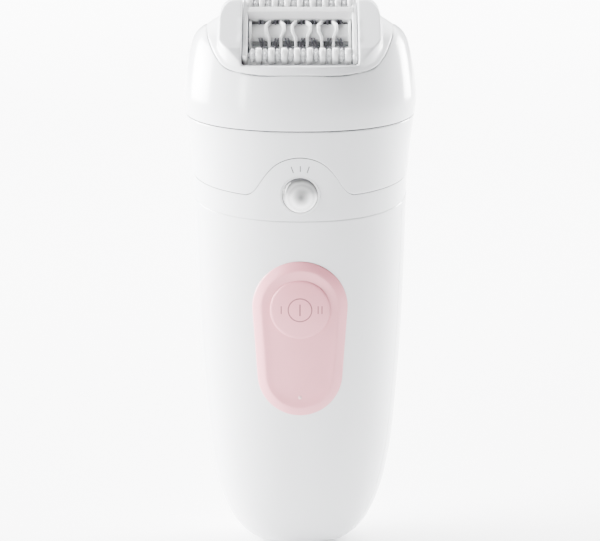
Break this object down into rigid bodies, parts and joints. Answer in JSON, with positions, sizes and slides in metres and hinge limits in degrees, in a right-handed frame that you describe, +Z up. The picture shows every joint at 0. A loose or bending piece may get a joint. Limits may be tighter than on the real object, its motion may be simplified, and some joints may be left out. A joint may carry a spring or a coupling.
{
  "type": "epilator",
  "caption": "Cordless epilator with an oval handle, press switch pad, lamp, geared tweezer barrel and a lift-off head with a roller massage cap",
  "frame": {"origin": "middle of the flat base that the handle stands on", "axes": "+Z up along the handle, -Y the front with the switch pad and lamp, +X to the right as seen from the front"},
  "size_m": [0.0664, 0.0443, 0.1625],
  "materials": {
    "body_white": "glossy pearl white ABS",
    "head_white": "satin-gloss white ABS",
    "pad_pink": "satin pale pink soft-touch plastic",
    "cap_white": "white POM, slightly translucent",
    "button_white": "satin white ABS",
    "steel": "stainless steel, ground",
    "tweezer_steel": "dark stainless strip",
    "lens_clear": "moulded clear polycarbonate",
    "reflector": "metallised reflector",
    "gear_white": "natural POM gear",
    "inner_grey": "glass-filled grey nylon",
    "board_green": "solder-masked circuit board",
    "cell_wrap": "shrink wrapped NiMH cell",
    "contact_metal": "nickel plated contact",
    "led": "white LED on a small board",
    "socket_black": "black nylon socket"
  },
  "bodies": {
    "handle": {"front_shell": "body_white", "rear_shell": "body_white", "collar_ring": "body_white", "switch_pad": "pad_pink", "pilot_light": "lens_clear", "lamp_reflector": "reflector", "lamp_lens": "lens_clear", "lamp_led": "led", "main_board": "board_green", "tact_switch": "socket_black", "chassis": "inner_grey", "battery_cell": "cell_wrap", "battery_tabs": "contact_metal", "motor_can": "steel", "motor_end_cap": "socket_black", "motor_bracket": "inner_grey", "motor_screws": "steel", "crown_axle": "steel", "inlet_housing": "socket_black", "inlet_pins": "contact_metal"},
    "power_button": {"power_button": "pad_pink"},
    "release_button": {"release_button": "button_white"},
    "motor_rotor": {"motor_pinion": "contact_metal"},
    "crown": {"crown_gear": "gear_white"},
    "head": {"head_skirt": "body_white", "head_shell": "body_white", "head_housing": "head_white", "head_base": "inner_grey", "gear_frame": "inner_grey", "head_posts": "inner_grey", "head_screws": "steel", "idler_pins": "steel", "barrel_axle": "steel"},
    "upper_idler": {"upper_idler": "gear_white"},
    "lower_idler": {"lower_idler": "gear_white"},
    "barrel": {"tweezer_barrel": "cap_white", "barrel_gear": "gear_white", "fixed_tweezers": "tweezer_steel"},
    "tweezer_slide": {"sliding_tweezers": "tweezer_steel"},
    "cap": {"massage_cap": "cap_white", "roller_axles": "steel"},
    "front_roller_1": {"front_roller_1": "cap_white"},
    "front_roller_2": {"front_roller_2": "cap_white"},
    "front_roller_3": {"front_roller_3": "cap_white"},
    "front_roller_4": {"front_roller_4": "cap_white"},
    "front_roller_5": {"front_roller_5": "cap_white"},
    "front_roller_6": {"front_roller_6": "cap_white"},
    "front_roller_7": {"front_roller_7": "cap_white"},
    "front_roller_8": {"front_roller_8": "cap_white"},
    "rear_roller_1": {"rear_roller_1": "cap_white"},
    "rear_roller_2": {"rear_roller_2": "cap_white"},
    "rear_roller_3": {"rear_roller_3": "cap_white"},
    "rear_roller_4": {"rear_roller_4": "cap_white"},
    "rear_roller_5": {"rear_roller_5": "cap_white"},
    "rear_roller_6": {"rear_roller_6": "cap_white"},
    "rear_roller_7": {"rear_roller_7": "cap_white"},
    "rear_roller_8": {"rear_roller_8": "cap_white"}
  },
  "joints": [
    {"name": "button_press", "type": "slide", "parent": "handle", "child": "power_button", "axis": [0, 1, 0], "range_m": [0, 0.0008], "stiffness_N_per_m": 1500, "springref_m": -0.0008},
    {"name": "release_press", "type": "slide", "parent": "handle", "child": "release_button", "axis": [0, -1, 0], "range_m": [0, 0.0012], "stiffness_N_per_m": 1500, "springref_m": -0.0008},
    {"name": "head_lift", "type": "slide", "parent": "handle", "child": "head", "axis": [0, 0, 1], "range_m": [0, 0.03]},
    {"name": "motor_spin", "type": "hinge", "parent": "handle", "child": "motor_rotor", "pos_m": [0, 0.001, 0.098], "axis": [0, 0, 1], "continuous": true},
    {"name": "crown_spin", "type": "hinge", "parent": "handle", "child": "crown", "pos_m": [0.01, 0.001, 0.10703], "axis": [1, 0, 0], "continuous": true},
    {"name": "lower_idler_spin", "type": "hinge", "parent": "head", "child": "lower_idler", "pos_m": [0.0191, -0.00028, 0.12142], "axis": [1, 0, 0], "continuous": true},
    {"name": "upper_idler_spin", "type": "hinge", "parent": "head", "child": "upper_idler", "pos_m": [0.0191, -0.00157, 0.13582], "axis": [1, 0, 0], "continuous": true},
    {"name": "barrel_spin", "type": "hinge", "parent": "head", "child": "barrel", "pos_m": [0, -0.00271, 0.14862], "axis": [1, 0, 0], "continuous": true},
    {"name": "tweezer_close", "type": "slide", "parent": "barrel", "child": "tweezer_slide", "axis": [-1, 0, 0], "range_m": [0, 0.0004]},
    {"name": "cap_lift", "type": "slide", "parent": "head", "child": "cap", "axis": [0, -0.6157, 0.788], "range_m": [0, 0.016]},
    {"name": "front_roller_1_spin", "type": "hinge", "parent": "cap", "child": "front_roller_1", "pos_m": [-0.01333, -0.01398, 0.14679], "axis": [1, 0, 0], "continuous": true},
    {"name": "front_roller_2_spin", "type": "hinge", "parent": "cap", "child": "front_roller_2", "pos_m": [-0.00975, -0.01398, 0.14679], "axis": [1, 0, 0], "continuous": true},
    {"name": "front_roller_3_spin", "type": "hinge", "parent": "cap", "child": "front_roller_3", "pos_m": [-0.00618, -0.01398, 0.14679], "axis": [1, 0, 0], "continuous": true},
    {"name": "front_roller_4_spin", "type": "hinge", "parent": "cap", "child": "front_roller_4", "pos_m": [-0.00261, -0.01398, 0.14679], "axis": [1, 0, 0], "continuous": true},
    {"name": "front_roller_5_spin", "type": "hinge", "parent": "cap", "child": "front_roller_5", "pos_m": [0.00097, -0.01398, 0.14679], "axis": [1, 0, 0], "continuous": true},
    {"name": "front_roller_6_spin", "type": "hinge", "parent": "cap", "child": "front_roller_6", "pos_m": [0.00455, -0.01398, 0.14679], "axis": [1, 0, 0], "continuous": true},
    {"name": "front_roller_7_spin", "type": "hinge", "parent": "cap", "child": "front_roller_7", "pos_m": [0.00812, -0.01398, 0.14679], "axis": [1, 0, 0], "continuous": true},
    {"name": "front_roller_8_spin", "type": "hinge", "parent": "cap", "child": "front_roller_8", "pos_m": [0.0117, -0.01398, 0.14679], "axis": [1, 0, 0], "continuous": true},
    {"name": "rear_roller_1_spin", "type": "hinge", "parent": "cap", "child": "rear_roller_1", "pos_m": [-0.0126, 0.00178, 0.15911], "axis": [1, 0, 0], "continuous": true},
    {"name": "rear_roller_2_spin", "type": "hinge", "parent": "cap", "child": "rear_roller_2", "pos_m": [-0.009, 0.00178, 0.15911], "axis": [1, 0, 0], "continuous": true},
    {"name": "rear_roller_3_spin", "type": "hinge", "parent": "cap", "child": "rear_roller_3", "pos_m": [-0.0054, 0.00178, 0.15911], "axis": [1, 0, 0], "continuous": true},
    {"name": "rear_roller_4_spin", "type": "hinge", "parent": "cap", "child": "rear_roller_4", "pos_m": [-0.0018, 0.00178, 0.15911], "axis": [1, 0, 0], "continuous": true},
    {"name": "rear_roller_5_spin", "type": "hinge", "parent": "cap", "child": "rear_roller_5", "pos_m": [0.0018, 0.00178, 0.15911], "axis": [1, 0, 0], "continuous": true},
    {"name": "rear_roller_6_spin", "type": "hinge", "parent": "cap", "child": "rear_roller_6", "pos_m": [0.0054, 0.00178, 0.15911], "axis": [1, 0, 0], "continuous": true},
    {"name": "rear_roller_7_spin", "type": "hinge", "parent": "cap", "child": "rear_roller_7", "pos_m": [0.009, 0.00178, 0.15911], "axis": [1, 0, 0], "continuous": true},
    {"name": "rear_roller_8_spin", "type": "hinge", "parent": "cap", "child": "rear_roller_8", "pos_m": [0.0126, 0.00178, 0.15911], "axis": [1, 0, 0], "continuous": true}
  ],
  "couplings": [
    {"joint": "upper_idler_spin", "follows": "barrel_spin", "ratio": -0.77778},
    {"joint": "lower_idler_spin", "follows": "barrel_spin", "ratio": 0.77778},
    {"joint": "crown_spin", "follows": "barrel_spin", "ratio": -0.77778},
    {"joint": "motor_spin", "follows": "barrel_spin", "ratio": -2.3333}
  ]
}
